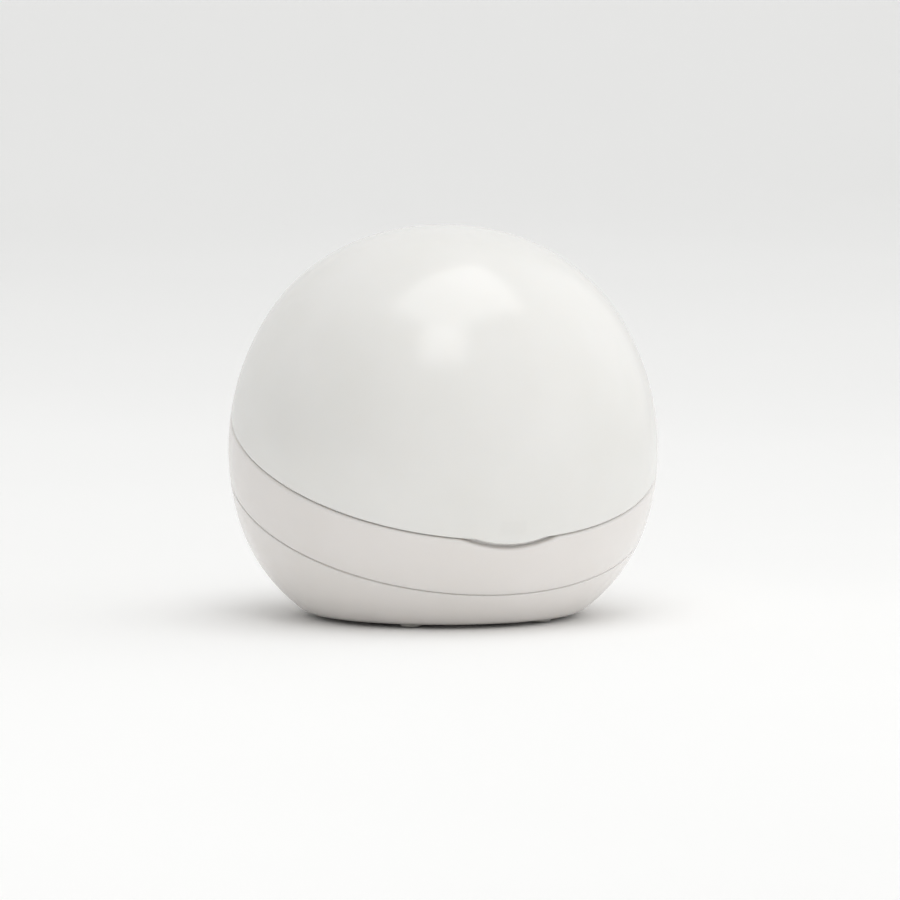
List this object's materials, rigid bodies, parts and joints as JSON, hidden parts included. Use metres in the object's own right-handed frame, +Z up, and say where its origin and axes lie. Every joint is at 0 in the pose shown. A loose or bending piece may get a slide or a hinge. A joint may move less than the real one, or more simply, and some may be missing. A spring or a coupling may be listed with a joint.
{
  "type": "soother steriliser pod",
  "caption": "Egg-shaped hinged pod that sterilises a soother with a lamp: domed lid, tilted seam, domed deck with a clear teat cup, side button and battery bay.",
  "frame": {"origin": "middle of the resting plane under the four feet", "axes": "+Z up, -Y the front with the finger lip, +Y the hinge"},
  "size_m": [0.092, 0.092, 0.0835],
  "materials": {
    "lid_plastic": "high gloss moulded, warm white",
    "base_plastic": "high gloss moulded, warm white",
    "liner_plastic": "semi gloss moulded white",
    "deck_plastic": "semi gloss moulded white",
    "button_plastic": "gloss moulded, a shade greyer",
    "clear_cup": "clear, polished",
    "lamp_glass": "clear quartz",
    "holder_plastic": "matt moulded",
    "reflector_metal": "bright sheet",
    "board_laminate": "green solder mask",
    "ferrite": "dull ferrite",
    "capacitor_sleeve": "shrink sleeve",
    "chip_resin": "moulded resin",
    "led_lens": "clear resin",
    "cell_can": "plain sleeve",
    "pin_steel": "drawn",
    "spring_steel": "nickel plated",
    "screw_steel": "zinc plated",
    "foot_rubber": "matt"
  },
  "bodies": {
    "base": {"hinge_pin": "pin_steel", "belt_shell": "base_plastic", "bowl_shell": "base_plastic", "deck": "deck_plastic", "teat_cup": "clear_cup", "catch_leaf": "spring_steel", "uv_lamp": "lamp_glass", "lamp_holder": "holder_plastic", "lamp_reflector": "reflector_metal", "control_board": "board_laminate", "board_transformer": "ferrite", "board_capacitors": "capacitor_sleeve", "controller_chip": "chip_resin", "board_screws": "screw_steel", "switch_board": "board_laminate", "tact_switch": "chip_resin", "status_led": "led_lens", "lid_switch": "chip_resin", "battery_tray": "holder_plastic", "battery_cells": "cell_can", "battery_springs": "spring_steel", "battery_plates": "spring_steel", "case_screws": "screw_steel", "deck_screws": "screw_steel", "foot_pads": "foot_rubber"},
    "lid": {"lid_shell": "lid_plastic", "lid_liner": "liner_plastic", "latch_hook": "liner_plastic"},
    "button": {"power_button": "button_plastic"},
    "switch_pin": {"lid_switch_pin": "holder_plastic"},
    "door": {"battery_door": "base_plastic", "door_screws": "screw_steel"}
  },
  "joints": [
    {"name": "lid_hinge", "type": "hinge", "parent": "base", "child": "lid", "pos_m": [0, 0.043, 0.05515], "axis": [-1, 0, 0], "range_deg": [0, 100]},
    {"name": "button_press", "type": "slide", "parent": "base", "child": "button", "axis": [0.866, -0.5, 0], "range_m": [0, 0.0006], "stiffness_N_per_m": 2000},
    {"name": "switch_pin_slide", "type": "slide", "parent": "base", "child": "switch_pin", "axis": [0, -0.3778, 0.9259], "range_m": [0, 0.0015]},
    {"name": "battery_door_slide", "type": "slide", "parent": "base", "child": "door", "axis": [0, 0, -1], "range_m": [0, 0.03]}
  ],
  "couplings": [
    {"joint": "switch_pin_slide", "follows": "lid_hinge", "m_per_rad": 0.00085}
  ]
}
